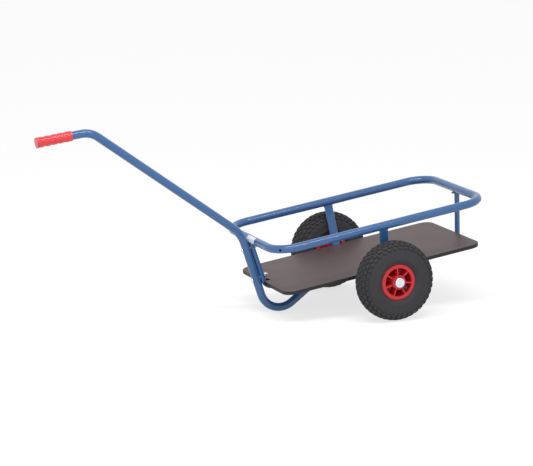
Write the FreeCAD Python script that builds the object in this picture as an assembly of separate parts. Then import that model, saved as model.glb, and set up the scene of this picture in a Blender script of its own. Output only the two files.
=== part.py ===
import FreeCAD, Part
import math
import os
from FreeCAD import Placement, Rotation, Vector

# Two-wheeled platform hand cart. All sizes are in millimetres.
# The cart is drawn level, with its deck horizontal and its axle on the Y axis through the origin:
# X points to the rear, Y to the right-hand side and Z up. At the end the frame tips forward about the
# axle until the drawbar's foot meets the floor, which is how the cart is parked.

# ---- deck ----
deck_length = 707.0
deck_width = 394.0
deck_thickness = 12.0
deck_centre_x = 2.5
deck_top_z = 29.0
deck_corner_radius = 38.0
deck_edge_round = 1.5
notch_clearance = 2.0

# ---- guard rail loop above the deck ----
tube_diameter = 26.9
tube_wall = 2.0
loop_length = 748.0          # between centrelines
loop_width = 435.0           # between centrelines
loop_centre_x = 5.0
loop_height = 174.5          # centreline above the axle
loop_bend_radius = 78.0
drain_hole_diameter = 8.0

# ---- struts and bearers under the loop ----
strut_diameter = 17.2
strut_wall = 2.0
strut_bend_radius = 32.0
rear_strut_overhang = 5.0    # strut's top, behind the rear cross tube's centreline
rear_strut_gap = 0.3         # between the deck's rear edge and the strut
bearer_thickness = 4.0
bearer_width = 40.0
bearer_length = 300.0
bearer_offset = 225.0        # from the deck's centre

# ---- side posts and axle beam ----
post_width = 30.0
post_thickness = 12.0
post_wall = 2.0
post_centre_x = 5.0
post_lean = 10.0             # degrees, inwards on the way down
post_drop = 20.0             # below the axle's centreline
beam_wall = 2.5

# ---- axle and what is threaded on it ----
axle_diameter = 20.0
spacer_diameter = 27.0
spacer_bore_clearance = 0.25
washer_diameter = 34.0
washer_thickness = 2.5
cap_diameter = 35.0
cap_height = 9.0
cap_wall = 2.5
axle_chamfer = 1.5

# ---- wheels ----
tyre_diameter = 260.0
tyre_width = 85.0
tyre_wall = 7.0
tread_thickness = 9.0
track_width = 516.0          # between the tyres' centre planes
rim_diameter = 117.0
rim_width = 66.0
bead_seat_diameter = 101.0
rim_wall = 4.0
rim_flange_thickness = 5.0
hub_length = 75.0
hub_diameter = 46.0
rib_count = 7
rib_thickness = 4.0
rib_start_angle = 96.0       # degrees from +X towards +Z, first rib of the outer half
web_thickness = 3.0
web_depth = 13.0             # of the inner half's web behind the wheel's centre plane
bush_diameter = 32.0
bush_clearance = 0.05        # radial, between bush and axle
hub_end_play = 0.5
valve_angle = -38.0
valve_diameter = 10.0

# ---- drawbar ----
handle_height = 641.6        # bend point of the handle above the axle
handle_angle = 1.4           # degrees, rising forwards
handle_run = 177.5           # from the bend point to the tube's end
shaft_angle = 44.3           # degrees, of the long straight run
leg_lean = 10.3              # degrees, of the lower leg and of the front strut
foot_drop = 110.5            # corner point of the foot below the axle
foot_rise_angle = 28.0       # degrees
handle_bend_radius = 80.0
knee_bend_radius = 110.0
foot_bend_radius = 70.0

# ---- grip ----
grip_length = 117.0
grip_diameter = 32.0
grip_flange_diameter = 36.0
grip_flange_thickness = 4.0
grip_end_thickness = 4.0

# ---- fasteners ----
bolt_diameter = 8.0
bolt_head_diameter = 15.0
bolt_head_height = 5.0
nut_diameter = 14.0
nut_height = 8.0
upper_bolt_height = 146.0    # on the leg's centreline, above the axle
lower_bolt_height = 40.0
saddle_length = 120.0
saddle_width = 34.0
saddle_thickness = 4.0
saddle_bolt_inset = 12.0

# ---- worked-out places ----
tube_radius = tube_diameter / 2
strut_radius = strut_diameter / 2
deck_bottom_z = deck_top_z - deck_thickness
deck_front_x = deck_centre_x - deck_length / 2
deck_rear_x = deck_centre_x + deck_length / 2
loop_front_x = loop_centre_x - loop_length / 2
loop_rear_x = loop_centre_x + loop_length / 2
bearer_bottom_z = deck_bottom_z - bearer_thickness
run_z = bearer_bottom_z - strut_radius
beam_size = 2 * deck_bottom_z
wheel_y = track_width / 2
tyre_radius = tyre_diameter / 2
hub_inner_y = wheel_y - hub_length / 2
hub_outer_y = wheel_y + hub_length / 2
lean = math.radians(leg_lean)
rise = math.radians(foot_rise_angle)
shaft = math.radians(shaft_angle)
handle = math.radians(handle_angle)

os.makedirs("parts", exist_ok=True)


def point(x, z, y=0.0):
    return Vector(x, y, z)


def leg_x(z, offset):
    """X of a line parallel to the drawbar's leg, offset rearwards from the front cross tube's centre"""
    return loop_front_x + offset / math.cos(lean) + math.tan(lean) * (loop_height - z)


leg_offset = -(tube_radius + tube_radius)
strut_offset = leg_offset + tube_radius + strut_radius


def rounded_path(corners, radii, closed=False):
    """Straight runs through the corners, joined by tangent arcs of the given radii"""
    count = len(corners)
    edges = []
    ends = []
    for i, corner in enumerate(corners):
        if not closed and i in (0, count - 1):
            ends.append((corner, corner))
            continue
        back = (corners[i - 1] - corner).normalize()
        ahead = (corners[(i + 1) % count] - corner).normalize()
        half_turn = (math.pi - back.getAngle(ahead)) / 2
        radius = radii[i] if closed else radii[i - 1]
        reach = radius * math.tan(half_turn)
        start = corner + back * reach
        end = corner + ahead * reach
        middle = corner + (back + ahead).normalize() * radius * (1 / math.cos(half_turn) - 1)
        ends.append((start, end))
        edges.append(Part.Arc(start, middle, end).toShape())
    for i in range(count if closed else count - 1):
        start = ends[i][1]
        end = ends[(i + 1) % count][0]
        edges.append(Part.LineSegment(start, end).toShape())
    return Part.Wire(Part.__sortEdges__(edges))


def swept_rod(path, radius):
    """Solid round bar along a path"""
    edge = path.OrderedEdges[0]
    start = edge.valueAt(edge.FirstParameter)
    along = edge.tangentAt(edge.FirstParameter)
    ring = Part.Wire(Part.makeCircle(radius, start, along))
    return path.makePipeShell([ring], True, True)


def swept_tube(path, diameter, wall):
    return swept_rod(path, diameter / 2).cut(swept_rod(path, diameter / 2 - wall))


def loop_path(length, width, radius, z):
    """Rounded rectangle about the loop's centre, as two halves that meet in the middle of the long sides"""
    halves = []
    for side in (-1, 1):
        x_end = loop_centre_x + side * length / 2
        corners = [Vector(loop_centre_x, -width / 2, z), Vector(x_end, -width / 2, z),
                   Vector(x_end, width / 2, z), Vector(loop_centre_x, width / 2, z)]
        halves.append(rounded_path(corners, [radius, radius]))
    return halves


def loop_bar(radius):
    front, rear = loop_path(loop_length, loop_width, loop_bend_radius, loop_height)
    return swept_rod(front, radius).fuse(swept_rod(rear, radius)).removeSplitter()


def bore(shape, centre, direction, diameter, length):
    start = centre - direction * (length / 2)
    return shape.cut(Part.makeCylinder(diameter / 2, length, start, direction))


def along_y(radius, y0, y1):
    """Cylinder about the axle between two distances along Y"""
    return Part.makeCylinder(radius, abs(y1 - y0), Vector(0, min(y0, y1), 0), Vector(0, 1, 0))


def ring_y(outer_radius, inner_radius, y0, y1):
    low, high = sorted((y0, y1))
    return along_y(outer_radius, low, high).cut(along_y(inner_radius, low - 1, high + 1))


# ---- rail loop ----
def make_rail_loop():
    loop = loop_bar(tube_radius).cut(loop_bar(tube_radius - tube_wall))
    corner_reach = loop_bend_radius * (1 - math.sqrt(0.5))
    for end in (-1, 1):
        for side in (-1, 1):
            centre = Vector(loop_centre_x + end * (loop_length / 2 - corner_reach),
                            side * (loop_width / 2 - corner_reach), loop_height)
            outward = Vector(end, side, 0).normalize()
            hole = Part.makeCylinder(drain_hole_diameter / 2, tube_diameter, centre, outward)
            loop = loop.cut(hole)
    return loop


# ---- drawbar: handle, long shaft, leg and the foot that it stands on ----
def drawbar_corners():
    bend_x = loop_front_x + leg_offset / math.cos(lean)
    leg_slope = math.tan(lean)
    shaft_slope = math.tan(shaft)
    # the shaft's line passes through the knee, where it meets the leg's line
    knee_z = loop_height + tube_diameter
    knee = point(leg_x(knee_z, leg_offset), knee_z)
    top = point(knee.x - (handle_height - knee_z) / shaft_slope, handle_height)
    tip = top + point(-math.cos(handle), math.sin(handle)) * handle_run
    foot = point(leg_x(-foot_drop, leg_offset), -foot_drop)
    plate_z = run_z - strut_radius - saddle_thickness
    end = foot + point(math.cos(rise), math.sin(rise)) * ((plate_z + foot_drop) / math.sin(rise))
    return tip, top, knee, foot, end


def drawbar_path():
    tip, top, knee, foot, end = drawbar_corners()
    beyond = end + (end - foot).normalize() * tube_diameter * 2
    return rounded_path([tip, top, knee, foot, beyond],
                        [handle_bend_radius, knee_bend_radius, foot_bend_radius])


def make_drawbar():
    tube = swept_tube(drawbar_path(), tube_diameter, tube_wall)
    end = drawbar_corners()[4]
    above_plate = Part.makeBox(400, 200, 200, Vector(end.x - 100, -100, end.z))
    tube = tube.cut(above_plate)
    for height in (upper_bolt_height, lower_bolt_height):
        centre, direction = bolt_axis(height)
        tube = bore(tube, centre, direction, bolt_diameter, 3 * tube_diameter)
    return tube


def bolt_axis(height):
    """Centre on the leg and direction, square to the leg and pointing rearwards"""
    centre = point(leg_x(height, leg_offset), height)
    return centre, point(math.cos(lean), math.sin(lean))


def make_drawbar_bolt(height):
    centre, direction = bolt_axis(height)
    head_seat = centre - direction * tube_radius
    nut_seat = centre + direction * (tube_radius + strut_diameter)
    shank = Part.makeCylinder(bolt_diameter / 2, tube_diameter + strut_diameter + nut_height + 3,
                              head_seat, direction)
    head = Part.makeCylinder(bolt_head_diameter / 2, bolt_head_height,
                             head_seat - direction * bolt_head_height, direction)
    crown = [edge for edge in head.Edges if abs(edge.CenterOfMass.distanceToPoint(head_seat) -
                                                bolt_head_height) < 0.01 and edge.Closed]
    head = head.makeFillet(bolt_head_height * 0.6, crown[:1])
    nut = hexagon(nut_diameter, nut_height, nut_seat, direction)
    return head.fuse([shank, nut]).removeSplitter()


def hexagon(across_flats, height, base, direction):
    corner_radius = across_flats / math.sqrt(3)
    points = [Vector(corner_radius * math.cos(math.radians(60 * i)),
                     corner_radius * math.sin(math.radians(60 * i)), 0) for i in range(7)]
    prism = Part.Face(Part.makePolygon(points)).extrude(Vector(0, 0, height))
    prism.Placement = Placement(base, Rotation(Vector(0, 0, 1), direction))
    return prism


def make_saddle():
    """Plate welded across the foot tube's upper end and screwed up against the front strut's run"""
    end = drawbar_corners()[4]
    plate = Part.makeBox(saddle_length, saddle_width, saddle_thickness,
                         Vector(end.x - saddle_length / 2, -saddle_width / 2, end.z))
    upright = [edge for edge in plate.Edges if abs(edge.tangentAt(edge.FirstParameter).z) > 0.99]
    plate = plate.makeFillet(6, upright)
    for place in saddle_bolt_places():
        plate = bore(plate, place, Vector(0, 0, 1), bolt_diameter, 4 * saddle_thickness)
    return plate


def saddle_bolt_places():
    end = drawbar_corners()[4]
    reach = saddle_length / 2 - saddle_bolt_inset
    return [point(end.x + side * reach, end.z) for side in (-1, 1)]


def make_saddle_bolts():
    bolts = []
    for place in saddle_bolt_places():
        head = hexagon(bolt_head_diameter - 2, bolt_head_height, place - point(0, bolt_head_height),
                       Vector(0, 0, 1))
        shank = Part.makeCylinder(bolt_diameter / 2, saddle_thickness + strut_radius, place)
        bolts.append(head.fuse(shank).removeSplitter())
    return Part.makeCompound(bolts)


# ---- struts from the loop's cross tubes, and their runs under the deck ----
def make_front_strut():
    top = point(leg_x(loop_height, strut_offset), loop_height)
    corner = point(leg_x(run_z, strut_offset), run_z)
    end = point(0, run_z)
    strut = swept_tube(rounded_path([top, corner, end], [strut_bend_radius]), strut_diameter, strut_wall)
    strut = strut.cut(loop_bar(tube_radius)).cut(beam_block())
    strut = keep_largest(strut)
    for height in (upper_bolt_height, lower_bolt_height):
        centre, direction = bolt_axis(height)
        strut = bore(strut, centre, direction, bolt_diameter, 4 * tube_diameter)
    for place in saddle_bolt_places():
        hole = Part.makeCylinder(bolt_diameter / 2, saddle_thickness + strut_radius, place)
        strut = strut.cut(hole)
    return strut


def rear_strut_line():
    foot_x = deck_rear_x + rear_strut_gap + strut_radius
    top = point(loop_rear_x + rear_strut_overhang, loop_height)
    level = point(foot_x, deck_bottom_z)
    down = (level - top).normalize()
    # the strut passes the deck's rear edge closest at the deck's underside and ends level with the run's underside
    return top, level + down * ((deck_bottom_z - run_z + strut_radius) / abs(down.z))


def make_rear_strut():
    top, bottom = rear_strut_line()
    axis = bottom - top
    rod = Part.makeCylinder(strut_radius, axis.Length, top, axis)
    core = Part.makeCylinder(strut_radius - strut_wall, axis.Length - strut_wall, top, axis)
    return keep_largest(rod.cut(core).cut(loop_bar(tube_radius)))


def make_rear_run():
    """Horizontal tube from the axle beam to the rear strut's foot"""
    top, bottom = rear_strut_line()
    axis = bottom - top
    rod = Part.makeCylinder(strut_radius, axis.Length * 1.2, top, axis)
    end_x = deck_rear_x + 2 * strut_diameter
    run = Part.makeCylinder(strut_radius, end_x, point(0, run_z), Vector(1, 0, 0))
    core = Part.makeCylinder(strut_radius - strut_wall, end_x, point(0, run_z), Vector(1, 0, 0))
    run = run.cut(core).cut(rod).cut(beam_block())
    solids = sorted(run.Solids, key=lambda solid: solid.Volume)
    return solids[-1]


def keep_largest(shape):
    return sorted(shape.Solids, key=lambda solid: solid.Volume)[-1]


def make_bearer(side):
    """Flat bar across the centre run, under the deck"""
    centre_x = deck_centre_x + side * bearer_offset
    bar = Part.makeBox(bearer_width, bearer_length, bearer_thickness,
                       Vector(centre_x - bearer_width / 2, -bearer_length / 2, bearer_bottom_z))
    upright = [edge for edge in bar.Edges if abs(edge.tangentAt(edge.FirstParameter).z) > 0.99]
    return bar.makeFillet(8, upright)


# ---- side posts and the beam that carries the axle ----
def post_frame(side):
    """Point of the post's centreline at the axle's height, and its direction upwards"""
    tilt = math.radians(post_lean)
    base_y = loop_width / 2 - math.tan(tilt) * loop_height
    return Vector(post_centre_x, side * base_y, 0), Vector(0, side * math.sin(tilt), math.cos(tilt))


def stadium(width, thickness):
    """Flat-oval outline in the XY plane, wide along X"""
    flat = (width - thickness) / 2
    radius = thickness / 2
    edges = [Part.LineSegment(Vector(-flat, -radius, 0), Vector(flat, -radius, 0)).toShape(),
             Part.Arc(Vector(flat, -radius, 0), Vector(flat + radius, 0, 0),
                      Vector(flat, radius, 0)).toShape(),
             Part.LineSegment(Vector(flat, radius, 0), Vector(-flat, radius, 0)).toShape(),
             Part.Arc(Vector(-flat, radius, 0), Vector(-flat - radius, 0, 0),
                      Vector(-flat, -radius, 0)).toShape()]
    return Part.Face(Part.Wire(edges))


def post_bar(side, width, thickness):
    base, up = post_frame(side)
    below = 2 * post_drop
    length = below + loop_height / math.cos(math.radians(post_lean))
    bar = stadium(width, thickness).extrude(Vector(0, 0, length))
    bar.Placement = Placement(base - up * below, Rotation(Vector(0, 0, 1), up))
    return bar


def make_side_post(side):
    outer = post_bar(side, post_width, post_thickness)
    inner = post_bar(side, post_width - 2 * post_wall, post_thickness - 2 * post_wall)
    plug_top = wall_box(-post_drop, -post_drop + post_wall)
    post = outer.cut(inner).fuse(outer.common(plug_top)).removeSplitter()
    post = post.cut(wall_box(-10 * post_drop, -post_drop)).cut(loop_bar(tube_radius))
    post = keep_largest(post)
    return post.cut(along_y(axle_diameter / 2, -track_width, track_width))


def wall_box(z0, z1):
    return Part.makeBox(400, 2 * track_width, z1 - z0, Vector(-200, -track_width, z0))


def beam_block():
    half = beam_size / 2
    return Part.makeBox(beam_size, loop_width, beam_size, Vector(-half, -loop_width / 2, -half))


def rounded_square(size, radius, length):
    block = Part.makeBox(size, length, size, Vector(-size / 2, -length / 2, -size / 2))
    long_edges = [edge for edge in block.Edges if abs(edge.tangentAt(edge.FirstParameter).y) > 0.99]
    return block.makeFillet(radius, long_edges)


def make_axle_beam():
    beam = rounded_square(beam_size, 2 * beam_wall, loop_width)
    beam = beam.cut(rounded_square(beam_size - 2 * beam_wall, beam_wall, 2 * loop_width))
    for side in (-1, 1):
        beam = beam.cut(post_bar(side, post_width, post_thickness))
        beam = beam.cut(outside_of_post(side))
    return keep_largest(beam)


def outside_of_post(side):
    """Everything beyond the middle of a side post"""
    base, up = post_frame(side)
    slab = Part.makeBox(400, 400, 800, Vector(-200, 0 if side > 0 else -400, -400))
    slab.Placement = Placement(base, Rotation(Vector(0, 0, 1), up))
    return slab


# ---- deck board ----
def make_deck():
    half_l = deck_length / 2
    half_w = deck_width / 2
    corners = [Vector(deck_centre_x + sx * half_l, sy * half_w, deck_bottom_z)
               for sx, sy in ((-1, -1), (1, -1), (1, 1), (-1, 1))]
    outline = rounded_path(corners, [deck_corner_radius] * 4, closed=True)
    board = Part.Face(outline).extrude(Vector(0, 0, deck_thickness))
    rims = [edge for edge in board.Edges if abs(edge.CenterOfMass.z - deck_top_z) < 0.01 or
            abs(edge.CenterOfMass.z - deck_bottom_z) < 0.01]
    board = board.makeFillet(deck_edge_round, rims)
    board = board.cut(front_notch())
    for side in (-1, 1):
        board = board.cut(side_notch(side))
    return board


def front_notch():
    """Slot for the front strut, from the front edge to behind the strut's bend"""
    half = strut_radius + notch_clearance
    strut_rear = leg_x(deck_bottom_z, strut_offset) + strut_radius / math.cos(lean)
    back_x = strut_rear + notch_clearance + strut_bend_radius * 0.25
    start = Vector(deck_front_x - 50, -half, deck_bottom_z - 1)
    slot = Part.makeBox(back_x - deck_front_x + 50, 2 * half, deck_thickness + 2, start)
    rear = [edge for edge in slot.Edges if abs(edge.tangentAt(edge.FirstParameter).z) > 0.99 and
            edge.CenterOfMass.x > back_x - 1]
    return slot.makeFillet(half * 0.6, rear)


def side_notch(side):
    """Slot that opens at the deck's side and clears the leaning post"""
    base, up = post_frame(side)
    post_y = base.y + up.y / up.z * deck_bottom_z
    inner_y = abs(post_y) - post_thickness / 2 / up.z - notch_clearance
    half = post_width / 2 + notch_clearance
    depth = deck_width
    y0 = inner_y if side > 0 else -inner_y - depth
    slot = Part.makeBox(2 * half, depth, deck_thickness + 2,
                        Vector(post_centre_x - half, y0, deck_bottom_z - 1))
    deep = [edge for edge in slot.Edges if abs(edge.tangentAt(edge.FirstParameter).z) > 0.99 and
            abs(abs(edge.CenterOfMass.y) - inner_y) < 1]
    return slot.makeFillet(5, deep)


# ---- axle, spacers, washers and end caps ----
axle_end_y = hub_outer_y + cap_height - cap_wall


def make_axle():
    rod = along_y(axle_diameter / 2, -axle_end_y, axle_end_y)
    ends = [edge for edge in rod.Edges if edge.Closed and abs(abs(edge.CenterOfMass.y) - axle_end_y) < 0.01]
    return rod.makeChamfer(axle_chamfer, ends)


def make_spacer(side):
    """Sleeve from the side post's outer face to the washer"""
    outer_y = hub_inner_y - hub_end_play - washer_thickness
    sleeve = ring_y(spacer_diameter / 2, axle_diameter / 2 + spacer_bore_clearance, 0, side * outer_y)
    sleeve = sleeve.cut(post_bar(side, 3 * post_width, post_thickness))
    return sorted(sleeve.Solids, key=lambda solid: side * solid.CenterOfMass.y)[-1]


def make_washer(side):
    outer_y = hub_inner_y - hub_end_play
    return ring_y(washer_diameter / 2, axle_diameter / 2 + spacer_bore_clearance,
                  side * (outer_y - washer_thickness), side * outer_y)


def make_cap(side):
    """Pressed dome that holds the wheel on the axle's end"""
    start = hub_outer_y + hub_end_play
    cap = along_y(cap_diameter / 2, side * start, side * (start + cap_height))
    crown = [edge for edge in cap.Edges if edge.Closed and
             abs(abs(edge.CenterOfMass.y) - start - cap_height) < 0.01]
    cap = cap.makeFillet(cap_height * 0.72, crown)
    return cap.cut(make_axle())


# ---- wheels ----
def turned(outline, centre_y):
    """Solid of revolution about the axle from (distance out from the wheel's centre, radius) edges"""
    face = Part.Face(Part.Wire(Part.__sortEdges__(outline)))
    face.translate(Vector(0, centre_y, 0))
    return face.revolve(Vector(0, 0, 0), Vector(0, 1, 0), 360)


def profile_point(y, radius):
    return Vector(0, y, radius)


def smooth_profile(points):
    """Open curve through the points"""
    curve = Part.BSplineCurve()
    curve.interpolate([profile_point(y, radius) for y, radius in points])
    return curve.toShape()


def make_tyre(side):
    half = tyre_width / 2
    seat = bead_seat_diameter / 2
    bead_y = rim_width / 2 - rim_flange_thickness
    widest = seat + (tyre_radius - seat) * 0.52
    flange_lip = rim_diameter / 2
    outer = [(bead_y, flange_lip), (half * 0.93, flange_lip + 12), (half, widest),
             (half * 0.94, tyre_radius - 20), (half * 0.72, tyre_radius - 6.5), (half * 0.36, tyre_radius - 1.2),
             (0, tyre_radius)]
    outer += [(-y, radius) for y, radius in reversed(outer[:-1])]
    inner_half = half - tyre_wall
    crown = tyre_radius - tread_thickness
    inner = [(bead_y - tyre_wall, seat), (inner_half * 0.9, widest - 14), (inner_half, widest + 2),
             (inner_half * 0.85, crown - 12), (inner_half * 0.45, crown - 2), (0, crown)]
    inner += [(-y, radius) for y, radius in reversed(inner[:-1])]
    bead = [Part.LineSegment(profile_point(s * bead_y, flange_lip), profile_point(s * bead_y, seat)).toShape()
            for s in (-1, 1)]
    seats = [Part.LineSegment(profile_point(s * bead_y, seat),
                              profile_point(s * (bead_y - tyre_wall), seat)).toShape() for s in (-1, 1)]
    return turned([smooth_profile(outer), smooth_profile(inner)] + bead + seats, side * wheel_y)


def make_rim_half(side, outward):
    """Half rim, from the wheel's centre plane to one flange; outward is 1 for the half away from the frame"""
    way = side * outward
    seat = bead_seat_diameter / 2
    flange = rim_width / 2
    hub_end = hub_length / 2
    inner_seat = seat - rim_wall

    def ring(outer_radius, inner_radius, a, b):
        return ring_y(outer_radius, inner_radius, side * wheel_y + way * a, side * wheel_y + way * b)

    barrel = ring(seat, inner_seat, 0, flange)
    flange_ring = ring(rim_diameter / 2, inner_seat, flange - rim_flange_thickness, flange)
    hub = ring(hub_diameter / 2, bush_diameter / 2, 0, hub_end)
    rim = barrel.fuse([flange_ring, hub])
    start = rib_start_angle + (0 if outward > 0 else 180 / rib_count)
    reach = inner_seat - hub_diameter / 2
    ribs = []
    for i in range(rib_count):
        y0 = side * wheel_y + (0 if way > 0 else -flange)
        rib = Part.makeBox(reach + 2, flange, rib_thickness,
                           Vector(hub_diameter / 2 - 1, y0, -rib_thickness / 2))
        rib.rotate(Vector(0, 0, 0), Vector(0, 1, 0), -(start + i * 360 / rib_count))
        ribs.append(rib)
    rim = rim.fuse(ribs)
    if outward < 0:
        rim = rim.fuse(ring(inner_seat + 0.5, hub_diameter / 2 - 0.5, web_depth, web_depth + web_thickness))
    rim = rim.removeSplitter()
    outer_edge = [edge for edge in rim.Edges if edge.Closed and
                  abs(edge.CenterOfMass.y - side * wheel_y - way * flange) < 0.01 and
                  abs(edge.BoundBox.ZLength - rim_diameter) < 0.01]
    return rim.makeFillet(rim_flange_thickness * 0.45, outer_edge)


def make_bush(side):
    return ring_y(bush_diameter / 2, axle_diameter / 2 + bush_clearance,
                  side * hub_inner_y, side * hub_outer_y)


def make_valve(side):
    """Valve stem that leaves the barrel in a gap between two ribs and bends outwards"""
    angle = math.radians(valve_angle)
    outward = Vector(math.cos(angle), 0, math.sin(angle))
    seat = bead_seat_diameter / 2 - rim_wall
    root = outward * seat + Vector(0, side * (wheel_y + 6), 0)
    bend = outward * (seat - 12) + Vector(0, side * (wheel_y + 6), 0)
    tip = bend + Vector(0, side * 22, 0)
    stem = swept_rod(rounded_path([root, bend, tip], [8]), valve_diameter / 2)
    collar = Part.makeCylinder(valve_diameter / 2 + 1.2, 8, bend + Vector(0, side * 13, 0), Vector(0, side, 0))
    barrel = along_y(seat, side * wheel_y, side * (wheel_y + rim_width))
    return stem.fuse(collar).common(barrel).removeSplitter()


# ---- grip ----
def make_grip():
    tip, top = drawbar_corners()[:2]
    back = (top - tip).normalize()
    front = tip - back * grip_end_thickness
    sleeve = Part.makeCylinder(grip_diameter / 2, grip_length, front, back)
    flange = Part.makeCylinder(grip_flange_diameter / 2, grip_flange_thickness, front, back)
    bore_rod = Part.makeCylinder(tube_radius, grip_length, tip, back)
    return sleeve.fuse(flange).cut(bore_rod).removeSplitter()


# ---- parking: the frame tips forward until the foot is as low as the tyres ----
def foot_bend_centre():
    foot = drawbar_corners()[3]
    half_turn = (math.pi / 2 - lean + rise) / 2
    to_leg = point(-math.sin(lean), math.cos(lean))
    to_rise = point(math.cos(rise), math.sin(rise))
    return foot + (to_leg + to_rise).normalize() * (foot_bend_radius / math.cos(half_turn))


def parking_tilt():
    """Angle in degrees that brings the foot's underside level with the tyres' underside"""
    centre = foot_bend_centre()
    drop = tyre_radius - foot_bend_radius - tube_radius
    reach = math.hypot(centre.x, centre.z)
    return math.degrees(math.asin(drop / reach) - math.atan2(-centre.z, -centre.x))


frame_parts = {
    "rail_loop": make_rail_loop(),
    "drawbar": make_drawbar(),
    "grip": make_grip(),
    "drawbar_saddle": make_saddle(),
    "saddle_bolts": make_saddle_bolts(),
    "drawbar_bolt_upper": make_drawbar_bolt(upper_bolt_height),
    "drawbar_bolt_lower": make_drawbar_bolt(lower_bolt_height),
    "front_strut": make_front_strut(),
    "rear_strut": make_rear_strut(),
    "rear_run": make_rear_run(),
    "deck_bearer_front": make_bearer(-1),
    "deck_bearer_rear": make_bearer(1),
    "axle_beam": make_axle_beam(),
    "deck_board": make_deck(),
    "axle": make_axle(),
}
wheel_parts = {}
for name, side in (("left", -1), ("right", 1)):
    frame_parts["side_post_" + name] = make_side_post(side)
    frame_parts["axle_spacer_" + name] = make_spacer(side)
    frame_parts["axle_washer_" + name] = make_washer(side)
    frame_parts["axle_cap_" + name] = make_cap(side)
    wheel_parts["tyre_" + name] = make_tyre(side)
    wheel_parts["rim_outer_" + name] = make_rim_half(side, 1)
    wheel_parts["rim_inner_" + name] = make_rim_half(side, -1)
    wheel_parts["hub_bush_" + name] = make_bush(side)
    wheel_parts["valve_" + name] = make_valve(side)

for shape in frame_parts.values():
    shape.rotate(Vector(0, 0, 0), Vector(0, 1, 0), -parking_tilt())

# the origin is on the floor, at the middle of the whole cart's length
front_x = frame_parts["grip"].optimalBoundingBox().XMin
rear_x = frame_parts["rail_loop"].optimalBoundingBox().XMax
axle_x = -(front_x + rear_x) / 2
parts = dict(frame_parts)
parts.update(wheel_parts)
for node, shape in parts.items():
    shape.translate(Vector(axle_x, 0, tyre_radius))
    shape.exportStep("parts/" + node + ".step")
    box = shape.BoundBox
    print("%-20s solids %d  volume %9.0f  x %7.1f %7.1f  y %6.1f %6.1f  z %6.1f %6.1f  valid %s" % (
        node, len(shape.Solids), shape.Volume, box.XMin, box.XMax, box.YMin, box.YMax,
        box.ZMin, box.ZMax, shape.isValid()))
print("parking tilt %.3f degrees, axle at x %.3f z %.3f" % (parking_tilt(), axle_x, tyre_radius))
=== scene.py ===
import bpy
import math
from mathutils import Matrix, Vector


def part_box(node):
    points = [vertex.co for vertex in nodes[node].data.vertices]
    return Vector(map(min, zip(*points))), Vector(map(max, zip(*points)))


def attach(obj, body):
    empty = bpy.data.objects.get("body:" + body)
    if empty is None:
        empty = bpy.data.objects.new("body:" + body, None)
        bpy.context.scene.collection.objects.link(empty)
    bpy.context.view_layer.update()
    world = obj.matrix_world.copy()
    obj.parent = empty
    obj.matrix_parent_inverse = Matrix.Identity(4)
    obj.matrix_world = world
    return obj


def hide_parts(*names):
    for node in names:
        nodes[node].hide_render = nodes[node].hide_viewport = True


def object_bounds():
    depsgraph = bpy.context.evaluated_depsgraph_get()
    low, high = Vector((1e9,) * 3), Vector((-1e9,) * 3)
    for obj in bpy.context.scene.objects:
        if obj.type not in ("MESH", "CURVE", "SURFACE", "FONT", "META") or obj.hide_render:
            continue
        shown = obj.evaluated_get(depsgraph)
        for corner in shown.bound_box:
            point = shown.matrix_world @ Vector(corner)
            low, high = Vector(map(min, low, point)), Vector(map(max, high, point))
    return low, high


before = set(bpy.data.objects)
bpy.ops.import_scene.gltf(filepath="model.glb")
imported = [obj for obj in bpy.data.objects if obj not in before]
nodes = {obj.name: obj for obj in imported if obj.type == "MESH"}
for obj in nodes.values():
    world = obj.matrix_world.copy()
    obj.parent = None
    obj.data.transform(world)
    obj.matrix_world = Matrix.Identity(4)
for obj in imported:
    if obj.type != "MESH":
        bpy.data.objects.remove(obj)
cadLow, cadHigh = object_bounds()
print("loaded", len(nodes), "frame parts")

tyreLow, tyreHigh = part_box("tyre_left")
wheelCentre = (tyreLow + tyreHigh) / 2
frameTilt = math.radians(8.421)   # the parked frame leans forward onto its foot
sides = {"left": -1, "right": 1}

# millimetres on the level cart (axle on Y, deck flat) to metres on the parked cart
levelToParked = (Matrix.Translation((wheelCentre.x, 0, wheelCentre.z))
                 @ Matrix.Rotation(-frameTilt, 4, "Y") @ Matrix.Scale(0.001, 4))


def nothingSelected():
    if bpy.context.mode != "OBJECT":
        bpy.ops.object.mode_set(mode="OBJECT")
    bpy.ops.object.select_all(action="DESELECT")


def makeActive(piece):
    nothingSelected()
    piece.select_set(True)
    bpy.context.view_layer.objects.active = piece


def addPrimitive(name, operator, **settings):
    nothingSelected()
    operator(**settings)
    piece = bpy.context.object
    piece.name = piece.data.name = name
    return piece


def pick(piece, test, kind="VERT"):
    # leaves edit mode on, with only what passes the test selected
    makeActive(piece)
    bpy.ops.object.mode_set(mode="EDIT")
    bpy.ops.mesh.select_mode(type=kind)
    bpy.ops.mesh.select_all(action="DESELECT")
    bpy.ops.object.mode_set(mode="OBJECT")
    mesh = piece.data
    if kind == "VERT":
        for vertex in mesh.vertices:
            vertex.select = test(vertex.co)
    elif kind == "EDGE":
        for edge in mesh.edges:
            a, b = (mesh.vertices[i].co for i in edge.vertices)
            edge.select = test((a + b) / 2)
    else:
        for face in mesh.polygons:
            face.select = test(face.center)
    bpy.ops.object.mode_set(mode="EDIT")


def objectMode():
    bpy.ops.object.mode_set(mode="OBJECT")


def placeMesh(piece, matrix):
    piece.matrix_world = matrix
    makeActive(piece)
    bpy.ops.object.transform_apply(location=True, rotation=True, scale=True)


def outwardNormals(piece):
    makeActive(piece)
    bpy.ops.object.mode_set(mode="EDIT")
    bpy.ops.mesh.select_all(action="SELECT")
    bpy.ops.mesh.remove_doubles(threshold=0.00001)
    bpy.ops.mesh.normals_make_consistent(inside=False)
    objectMode()


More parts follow.
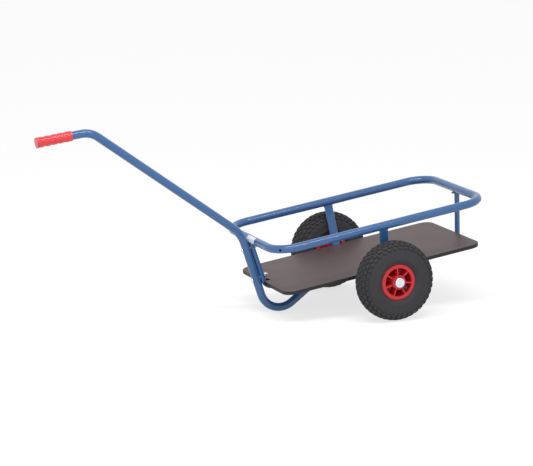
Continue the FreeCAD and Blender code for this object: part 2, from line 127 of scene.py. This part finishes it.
def smooth(piece, angle=40):
    makeActive(piece)
    bpy.ops.object.shade_smooth_by_angle(angle=math.radians(angle))


def copyOf(piece, name, matrix):
    twin = piece.copy()
    twin.data = piece.data.copy()
    twin.name = twin.data.name = name
    twin.data.transform(matrix)
    bpy.context.scene.collection.objects.link(twin)
    return twin


def joinAll(name, pieces):
    makeActive(pieces[0])
    for piece in pieces:
        piece.select_set(True)
    bpy.ops.object.join()
    whole = bpy.context.object
    whole.name = whole.data.name = name
    return whole


def newGroup(name, inputs, outputs):
    group = bpy.data.node_groups.new(name, "ShaderNodeTree")
    for label, kind, value in inputs:
        socket = group.interface.new_socket(name=label, in_out="INPUT", socket_type=kind)
        socket.default_value = value
    for label, kind in outputs:
        group.interface.new_socket(name=label, in_out="OUTPUT", socket_type=kind)
    return group, group.nodes.new("NodeGroupInput"), group.nodes.new("NodeGroupOutput")


def noiseNode(tree, detail):
    node = tree.nodes.new("ShaderNodeTexNoise")
    node.inputs["Detail"].default_value = detail
    return node


# soft colour clouds plus a fine grain: colour, roughness and normal for painted and moulded skins
skinBumpDistance = 0.0006
skinGroup, skinIn, skinOut = newGroup("surfaceSkin", [
    ("Color", "NodeSocketColor", (0.5, 0.5, 0.5, 1)),
    ("Shade Color", "NodeSocketColor", (0.4, 0.4, 0.4, 1)),
    ("Cloud Scale", "NodeSocketFloat", 6.0), ("Grain Scale", "NodeSocketFloat", 400.0),
    ("Grain Height", "NodeSocketFloat", 0.05), ("Roughness Low", "NodeSocketFloat", 0.25),
    ("Roughness High", "NodeSocketFloat", 0.35)],
    [("Color", "NodeSocketColor"), ("Roughness", "NodeSocketFloat"), ("Normal", "NodeSocketVector")])
skinPlace = skinGroup.nodes.new("ShaderNodeTexCoord")
clouds, grain = noiseNode(skinGroup, 4), noiseNode(skinGroup, 2)
cloudMix = skinGroup.nodes.new("ShaderNodeMix")
cloudMix.data_type = "RGBA"
roughRange = skinGroup.nodes.new("ShaderNodeMapRange")
grainBump = skinGroup.nodes.new("ShaderNodeBump")
grainBump.inputs["Distance"].default_value = skinBumpDistance
for source, target in (
        (skinPlace.outputs["Object"], clouds.inputs["Vector"]),
        (skinPlace.outputs["Object"], grain.inputs["Vector"]),
        (skinIn.outputs["Cloud Scale"], clouds.inputs["Scale"]),
        (skinIn.outputs["Grain Scale"], grain.inputs["Scale"]),
        (clouds.outputs["Fac"], cloudMix.inputs["Factor"]),
        (skinIn.outputs["Color"], cloudMix.inputs[6]),
        (skinIn.outputs["Shade Color"], cloudMix.inputs[7]),
        (cloudMix.outputs[2], skinOut.inputs["Color"]),
        (clouds.outputs["Fac"], roughRange.inputs["Value"]),
        (skinIn.outputs["Roughness Low"], roughRange.inputs["To Min"]),
        (skinIn.outputs["Roughness High"], roughRange.inputs["To Max"]),
        (roughRange.outputs["Result"], skinOut.inputs["Roughness"]),
        (grain.outputs["Fac"], grainBump.inputs["Height"]),
        (skinIn.outputs["Grain Height"], grainBump.inputs["Strength"]),
        (grainBump.outputs["Normal"], skinOut.inputs["Normal"])):
    skinGroup.links.new(source, target)


def finishMaterial(name, shade, metallic=0.0, coat=0.0, coatRoughness=0.1, specular=0.5):
    material = bpy.data.materials.new(name)
    material.use_nodes = True
    tree = material.node_tree
    shader = tree.nodes["Principled BSDF"]
    shader.inputs["Metallic"].default_value = metallic
    shader.inputs["Coat Weight"].default_value = coat
    shader.inputs["Coat Roughness"].default_value = coatRoughness
    shader.inputs["Specular IOR Level"].default_value = specular
    skin = tree.nodes.new("ShaderNodeGroup")
    skin.node_tree = skinGroup
    for label, value in shade.items():
        skin.inputs[label].default_value = value
    tree.links.new(skin.outputs["Color"], shader.inputs["Base Color"])
    tree.links.new(skin.outputs["Roughness"], shader.inputs["Roughness"])
    tree.links.new(skin.outputs["Normal"], shader.inputs["Normal"])
    return material


finishes = {
    "blue_paint": finishMaterial("bluePowderCoat", {
        "Color": (0.028, 0.110, 0.290, 1), "Shade Color": (0.036, 0.130, 0.330, 1), "Cloud Scale": 9,
        "Grain Scale": 900, "Grain Height": 0.04, "Roughness Low": 0.16, "Roughness High": 0.22},
        coat=0.25, coatRoughness=0.06),
    "zinc": finishMaterial("brightZinc", {
        "Color": (0.78, 0.80, 0.81, 1), "Shade Color": (0.62, 0.65, 0.67, 1), "Cloud Scale": 160,
        "Grain Scale": 1500, "Grain Height": 0.06, "Roughness Low": 0.18, "Roughness High": 0.34},
        metallic=1.0),
    "rim_red": finishMaterial("redRimPlastic", {
        "Color": (0.68, 0.020, 0.034, 1), "Shade Color": (0.56, 0.014, 0.026, 1), "Cloud Scale": 30,
        "Grain Scale": 1200, "Grain Height": 0.08, "Roughness Low": 0.32, "Roughness High": 0.42}),
    "grip_red": finishMaterial("redGripPlastic", {
        "Color": (0.80, 0.035, 0.048, 1), "Shade Color": (0.68, 0.024, 0.036, 1), "Cloud Scale": 40,
        "Grain Scale": 1400, "Grain Height": 0.05, "Roughness Low": 0.22, "Roughness High": 0.32},
        coat=0.3),
    "tyre_black": finishMaterial("blackTyreRubber", {
        "Color": (0.030, 0.029, 0.032, 1), "Shade Color": (0.046, 0.044, 0.048, 1), "Cloud Scale": 18,
        "Grain Scale": 700, "Grain Height": 0.25, "Roughness Low": 0.62, "Roughness High": 0.80},
        specular=0.35),
    "valve_black": finishMaterial("blackValveRubber", {
        "Color": (0.016, 0.016, 0.017, 1), "Shade Color": (0.028, 0.028, 0.030, 1), "Cloud Scale": 60,
        "Grain Scale": 1500, "Grain Height": 0.1, "Roughness Low": 0.45, "Roughness High": 0.6}),
    "bush_grey": finishMaterial("greyBushPlastic", {
        "Color": (0.20, 0.20, 0.21, 1), "Shade Color": (0.27, 0.27, 0.28, 1), "Cloud Scale": 60,
        "Grain Scale": 1200, "Grain Height": 0.08, "Roughness Low": 0.4, "Roughness High": 0.5}),
    "deck_ply": finishMaterial("brownFilmPly", {
        "Color": (0.082, 0.054, 0.056, 1), "Shade Color": (0.108, 0.075, 0.077, 1), "Cloud Scale": 14,
        "Grain Scale": 500, "Grain Height": 0.12, "Roughness Low": 0.40, "Roughness High": 0.55},
        specular=0.3),
}
stickerWhite = finishMaterial("whiteFilm", {
    "Color": (0.86, 0.87, 0.88, 1), "Shade Color": (0.80, 0.81, 0.83, 1), "Cloud Scale": 60,
    "Grain Scale": 1200, "Grain Height": 0.03, "Roughness Low": 0.25, "Roughness High": 0.35})


boardEdge = {"color": (0.022, 0.019, 0.021, 1), "turnedAway": 0.80, "flat": 0.97}


def darkBoardEdge(material):
    # the board's sealed edge: wherever the surface turns away from the deck's flat faces
    tree = material.node_tree
    shader, skin = tree.nodes["Principled BSDF"], tree.nodes["Group"]
    surface = tree.nodes.new("ShaderNodeNewGeometry")
    facing = tree.nodes.new("ShaderNodeVectorMath")
    facing.operation = "DOT_PRODUCT"
    facing.inputs[1].default_value = (-math.sin(frameTilt), 0, math.cos(frameTilt))
    flat = tree.nodes.new("ShaderNodeMath")
    flat.operation = "ABSOLUTE"
    edge = tree.nodes.new("ShaderNodeMapRange")
    edge.inputs["From Min"].default_value = boardEdge["turnedAway"]
    edge.inputs["From Max"].default_value = boardEdge["flat"]
    paint = tree.nodes.new("ShaderNodeMix")
    paint.data_type = "RGBA"
    paint.inputs[6].default_value = boardEdge["color"]
    tree.links.new(surface.outputs["Normal"], facing.inputs[0])
    tree.links.new(facing.outputs["Value"], flat.inputs[0])
    tree.links.new(flat.outputs[0], edge.inputs["Value"])
    tree.links.new(edge.outputs["Result"], paint.inputs["Factor"])
    tree.links.new(skin.outputs["Color"], paint.inputs[7])
    tree.links.new(paint.outputs[2], shader.inputs["Base Color"])


darkBoardEdge(finishes["deck_ply"])
print("materials ready")

for node in nodes.values():
    for materialSlot in node.material_slots:
        materialSlot.material = finishes[materialSlot.material.name.split(".")[0]]


def dress(piece, slotName, body):
    piece.data.materials.clear()
    piece.data.materials.append(finishes[slotName])
    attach(piece, body)


# the tyres: a squared-off ring with rows of tread blocks, in metres
tyre = {
    "outerRadius": 0.1298, "innerRadius": 0.0505, "width": 0.0846, "squareness": 2.5, "treadDepth": 0.0038,
    "around": 108, "across": 32, "snap": 0.0002, "smoothAngle": 50, "startTurn": 4,
    # raised rings on the sidewalls: inner and outer radius of each
    "rings": ((0.070, 0.0745), (0.098, 0.101)), "ringInset": 0.0006, "ringRise": 1.012,
    "sidewallFrom": 0.02,
    "blocksAround": 38, "blockHeight": 0.0078, "blockSink": 0.0002, "blockTaper": (0.90, 0.88),
    "blockRound": 0.0016, "blockSmoothAngle": 60,
    # per row: distance from the middle, radius of the block's foot, lean outwards, length, width
    "rows": [(0.0, 0.1262, 0, 0.0150, 0.0105), (0.0140, 0.1253, 8, 0.0150, 0.0105),
             (0.0272, 0.1214, 26, 0.0145, 0.0115), (0.0372, 0.1136, 52, 0.0120, 0.0090)],
}


def buildTyre(name):
    half = tyre["width"] / 2
    minor = (tyre["outerRadius"] - tyre["treadDepth"] - tyre["innerRadius"]) / 2
    major = tyre["innerRadius"] + minor
    body = addPrimitive(name, bpy.ops.mesh.primitive_torus_add, major_segments=tyre["around"],
                        minor_segments=tyre["across"], major_radius=major, minor_radius=minor,
                        rotation=(math.pi / 2, 0, 0))
    bpy.ops.object.transform_apply(location=True, rotation=True, scale=True)
    # each ring of the round section is pushed out to a squarer, wider one
    for i in range(tyre["across"] // 2 + 1):
        turn = 2 * math.pi * i / tyre["across"]
        y, r = minor * math.sin(turn), major + minor * math.cos(turn)
        power = 2 / tyre["squareness"]
        newR = major + minor * math.copysign(abs(math.cos(turn)) ** power, math.cos(turn))
        newY = half * abs(math.sin(turn)) ** power
        pick(body, lambda co: abs(abs(co.y) - abs(y)) < tyre["snap"]
             and abs(math.hypot(co.x, co.z) - r) < tyre["snap"])
        wider = newY / abs(y) if abs(y) > tyre["snap"] else 1
        bpy.ops.transform.resize(value=(newR / r, wider, newR / r), center_override=(0, 0, 0))
        objectMode()
    for low, high in tyre["rings"]:
        pick(body, lambda co: low < math.hypot(co.x, co.z) < high
             and abs(co.y) > tyre["sidewallFrom"], "FACE")
        bpy.ops.mesh.inset(thickness=tyre["ringInset"])
        bpy.ops.transform.resize(value=(1, tyre["ringRise"], 1), center_override=(0, 0, 0))
        objectMode()
    smooth(body, tyre["smoothAngle"])

    blocks = []
    for row, (away, foot, leanOut, length, width) in enumerate(tyre["rows"]):
        block = addPrimitive("block", bpy.ops.mesh.primitive_cube_add, size=1)
        placeMesh(block, Matrix.Translation((0, 0, -tyre["blockSink"]))
                  @ Matrix.Diagonal((length, width, tyre["blockHeight"], 1)))
        pick(block, lambda co: co.z > 0, "FACE")
        bpy.ops.transform.resize(value=(*tyre["blockTaper"], 1), center_override=(0, 0, 0))
        objectMode()
        pick(block, lambda co: True, "EDGE")
        bpy.ops.mesh.bevel(offset=tyre["blockRound"], segments=2, affect="EDGES")
        objectMode()
        smooth(block, tyre["blockSmoothAngle"])
        for side in ((1,) if away == 0 else (-1, 1)):
            seat = (Matrix.Translation((0, side * away, foot))
                    @ Matrix.Rotation(-side * math.radians(leanOut), 4, "X"))
            for i in range(tyre["blocksAround"]):
                step = 2 * math.pi * (i + row / 2) / tyre["blocksAround"]
                blocks.append(copyOf(block, "block", Matrix.Rotation(step, 4, "Y") @ seat))
        bpy.data.objects.remove(block)
    return joinAll(name, [body] + blocks)


firstTyre = buildTyre("tyreLeft")
for sideName, side in sides.items():
    seat = Matrix.Translation((wheelCentre.x, side * abs(wheelCentre.y), wheelCentre.z))
    made = copyOf(firstTyre, "tyre" + sideName.capitalize() + "Treaded",
                  seat @ Matrix.Rotation(math.radians(tyre["startTurn"] * side), 4, "Y"))
    dress(made, "tyre_black", "wheel_" + sideName)
    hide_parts("tyre_" + sideName)
bpy.data.objects.remove(firstTyre)
print("tyres ready")


# the hand grip, in metres along its own length
grip = {
    "radius": 0.0150, "bulge": 0.0020, "length": 0.117, "bulges": 5, "rings": 60, "sides": 40,
    "bulgeShape": 0.7, "ringSnap": 0.0004, "smoothAngle": 50,
    "flangeRadius": 0.0178, "flangeLength": 0.005, "flangeRound": 0.0012,
    "rimRadius": 0.0165, "rimLength": 0.004,
    "tip": (-1033.8, 0, 646.0), "angle": 1.4,   # millimetres and degrees on the level cart
}


def gripRadius(along):
    flange = grip["flangeLength"]
    if along < grip["flangeRound"]:
        return grip["flangeRadius"] - grip["flangeRound"] + along
    if along < flange:
        return grip["flangeRadius"]
    if along > grip["length"] - grip["rimLength"]:
        return grip["rimRadius"]
    share = (along - flange) / (grip["length"] - flange - grip["rimLength"])
    wave = abs(math.sin(math.pi * share * grip["bulges"]))
    return grip["radius"] + grip["bulge"] * wave ** grip["bulgeShape"]


def buildGrip():
    piece = addPrimitive("gripSleeve", bpy.ops.mesh.primitive_cylinder_add, vertices=grip["sides"],
                         radius=1, depth=grip["length"], end_fill_type="NGON",
                         location=(0, 0, grip["length"] / 2))
    bpy.ops.object.transform_apply(location=True, rotation=True, scale=True)
    for i in range(1, grip["rings"]):
        pick(piece, lambda co: True, "FACE")
        cutAt = grip["length"] * i / grip["rings"]
        bpy.ops.mesh.bisect(plane_co=(0, 0, cutAt), plane_no=(0, 0, 1))
        objectMode()
    for i in range(grip["rings"] + 1):
        along = grip["length"] * i / grip["rings"]
        size = gripRadius(along)
        pick(piece, lambda co: abs(co.z - along) < grip["ringSnap"])
        bpy.ops.transform.resize(value=(size, size, 1), center_override=(0, 0, 0))
        objectMode()
    return piece


gripPiece = buildGrip()
gripTurn = Matrix.Rotation(math.radians(90 + grip["angle"]), 4, "Y") @ Matrix.Scale(1000, 4)
placeMesh(gripPiece, levelToParked @ Matrix.Translation(grip["tip"]) @ gripTurn)
outwardNormals(gripPiece)
smooth(gripPiece, grip["smoothAngle"])
dress(gripPiece, "grip_red", "frame")
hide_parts("grip")
print("grip ready")


# a blank sticker on the front cross tube, in millimetres on the level cart
sticker = {"tubeRadius": 13.45, "lift": 0.12, "from": -52.0, "to": 8.0,
           "startAngle": 95.0, "endAngle": 200.0, "sides": 120, "smoothAngle": 40,
           "tubeX": -369.0, "tubeZ": 174.5, "filmMetres": 0.0001}


def buildSticker():
    length = sticker["to"] - sticker["from"]
    radius = sticker["tubeRadius"] + sticker["lift"]
    piece = addPrimitive("stickerBlank", bpy.ops.mesh.primitive_cylinder_add,
                         vertices=sticker["sides"], radius=radius, depth=length,
                         end_fill_type="NOTHING", rotation=(math.pi / 2, 0, 0),
                         location=(0, (sticker["from"] + sticker["to"]) / 2, 0))
    bpy.ops.object.transform_apply(location=True, rotation=True, scale=True)

    def outside(co):
        angle = math.degrees(math.atan2(co.z, co.x)) % 360
        return not sticker["startAngle"] < angle < sticker["endAngle"]
    pick(piece, outside, "FACE")
    bpy.ops.mesh.delete(type="FACE")
    objectMode()
    placeMesh(piece, levelToParked @ Matrix.Translation((sticker["tubeX"], 0, sticker["tubeZ"])))
    outwardNormals(piece)
    thick = piece.modifiers.new("film", "SOLIDIFY")
    thick.thickness = sticker["filmMetres"]
    thick.offset = 1
    makeActive(piece)
    bpy.ops.object.modifier_apply(modifier="film")
    smooth(piece, sticker["smoothAngle"])
    return piece


stickerPiece = buildSticker()
stickerPiece.data.materials.clear()
stickerPiece.data.materials.append(stickerWhite)
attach(stickerPiece, "frame")
print("sticker ready")


# weld beads round the posts and the rear strut, in millimetres on the level cart
weld = {
    "bead": 1.7, "around": 80, "across": 10, "ridge": 1.25, "snap": 0.01, "smoothAngle": 80,
    "postX": 5, "railY": 217.5, "railZ": 174.5, "postLean": 10, "postDrop": 14.2, "postHalves": (15.2, 6.4),
    "strutPlace": (373.5, 0, 160.5), "strutAxis": (0.13, 0, 0.99), "strutHalves": (9.0, 9.0),
}


def buildWeld(name, centre, axis, halfWidths):
    # a ring about the axis, with a ridge at every second section, flattened to the two half widths
    halfX, halfY = halfWidths
    piece = addPrimitive(name, bpy.ops.mesh.primitive_torus_add, major_segments=weld["around"],
                         minor_segments=weld["across"], major_radius=1, minor_radius=weld["bead"] / halfX)
    for i in range(0, weld["around"], 2):
        turn = 2 * math.pi * i / weld["around"]
        ridgeAt = math.atan2(math.sin(turn), math.cos(turn))
        pick(piece, lambda co: abs(math.atan2(co.y, co.x) - ridgeAt) < weld["snap"])
        bpy.ops.transform.resize(value=(1, 1, weld["ridge"]), center_override=(0, 0, 0))
        objectMode()
    turnTo = Vector((0, 0, 1)).rotation_difference(Vector(axis)).to_matrix().to_4x4()
    placeMesh(piece, levelToParked @ Matrix.Translation(centre) @ turnTo
              @ Matrix.Diagonal((halfX, halfY, halfX, 1)))
    outwardNormals(piece)
    smooth(piece, weld["smoothAngle"])
    dress(piece, "blue_paint", "frame")


postLean = math.radians(weld["postLean"])
for sideName, side in sides.items():
    weldY = side * (weld["railY"] - math.sin(postLean) * weld["postDrop"])
    buildWeld("weldPost" + sideName.capitalize(), (weld["postX"], weldY, weld["railZ"] - weld["postDrop"]),
              (0, side * math.sin(postLean), math.cos(postLean)), weld["postHalves"])
buildWeld("weldRearStrut", weld["strutPlace"], weld["strutAxis"], weld["strutHalves"])
print("welds ready")


# floor, light and camera
studio = {"floorSize": 80.0, "floorBounce": 0.80, "floorSeen": 0.42, "floorGlow": 0.70, "worldLevel": 0.62,
          "keyPower": 30.0, "keySize": (2.4, 0.28), "keyPlace": (-0.2, -1.0, 2.4), "fillPower": 14.0,
          "fillSize": (2.4, 1.6), "fillPlace": (-1.6, -2.6, 1.2), "aim": (0.2, 0, 0.2)}


def seenDirectly(tree):
    path = tree.nodes.new("ShaderNodeLightPath")
    first, second = tree.nodes.new("ShaderNodeMath"), tree.nodes.new("ShaderNodeMath")
    first.operation = second.operation = "MAXIMUM"
    tree.links.new(path.outputs["Is Camera Ray"], first.inputs[0])
    tree.links.new(path.outputs["Is Glossy Ray"], first.inputs[1])
    tree.links.new(first.outputs[0], second.inputs[0])
    tree.links.new(path.outputs["Is Transmission Ray"], second.inputs[1])
    return second.outputs[0]


def buildFloor():
    floor = addPrimitive("floor", bpy.ops.mesh.primitive_plane_add, size=studio["floorSize"],
                         location=(0, 0, min(0.0, cadLow.z)))
    material = bpy.data.materials.new("paleFloor")
    material.use_nodes = True
    tree = material.node_tree
    tree.nodes.remove(tree.nodes["Principled BSDF"])
    bounce, seen = tree.nodes.new("ShaderNodeBsdfDiffuse"), tree.nodes.new("ShaderNodeBsdfDiffuse")
    bounce.inputs["Color"].default_value = (studio["floorBounce"],) * 3 + (1,)
    seen.inputs["Color"].default_value = (studio["floorSeen"],) * 3 + (1,)
    glow = tree.nodes.new("ShaderNodeEmission")
    glow.inputs["Strength"].default_value = studio["floorGlow"]
    both, choose = tree.nodes.new("ShaderNodeAddShader"), tree.nodes.new("ShaderNodeMixShader")
    tree.links.new(seen.outputs[0], both.inputs[0])
    tree.links.new(glow.outputs[0], both.inputs[1])
    tree.links.new(seenDirectly(tree), choose.inputs[0])
    tree.links.new(bounce.outputs[0], choose.inputs[1])
    tree.links.new(both.outputs[0], choose.inputs[2])
    tree.links.new(choose.outputs[0], tree.nodes["Material Output"].inputs["Surface"])
    floor.data.materials.append(material)


def buildWorld():
    world = bpy.data.worlds.new("studioWorld")
    bpy.context.scene.world = world
    world.use_nodes = True
    tree = world.node_tree
    background = tree.nodes["Background"]
    background.inputs["Color"].default_value = (1, 1, 1, 1)
    level = tree.nodes.new("ShaderNodeMapRange")
    level.inputs["To Min"].default_value = studio["worldLevel"]
    level.inputs["To Max"].default_value = 1.0
    tree.links.new(seenDirectly(tree), level.inputs["Value"])
    tree.links.new(level.outputs["Result"], background.inputs["Strength"])


def addLamp(name, power, size, place, target):
    data = bpy.data.lights.new(name, "AREA")
    data.shape = "RECTANGLE"
    data.energy, data.size, data.size_y = power, size[0], size[1]
    lamp = bpy.data.objects.new(name, data)
    lamp.location = place
    lamp.rotation_euler = (Vector(target) - Vector(place)).to_track_quat("-Z", "Y").to_euler()
    bpy.context.scene.collection.objects.link(lamp)


buildFloor()
buildWorld()
addLamp("keyLamp", studio["keyPower"], studio["keySize"], studio["keyPlace"], studio["aim"])
addLamp("fillLamp", studio["fillPower"], studio["fillSize"], studio["fillPlace"], studio["aim"])

camera = {"place": (-3.5433, -8.3337, 2.1803), "turn": (78.076, 0.146, -23.308),
          "lens": 192.9, "sensor": 36.0, "farthest": 200}
lens = bpy.data.cameras.new("studioCamera")
lens.lens, lens.sensor_width = camera["lens"], camera["sensor"]
lens.clip_end = camera["farthest"]
viewer = bpy.data.objects.new("studioCamera", lens)
viewer.location = camera["place"]
viewer.rotation_euler = [math.radians(angle) for angle in camera["turn"]]
bpy.context.scene.collection.objects.link(viewer)
bpy.context.scene.camera = viewer
bpy.context.scene.view_settings.view_transform = "Standard"
print("studio ready")
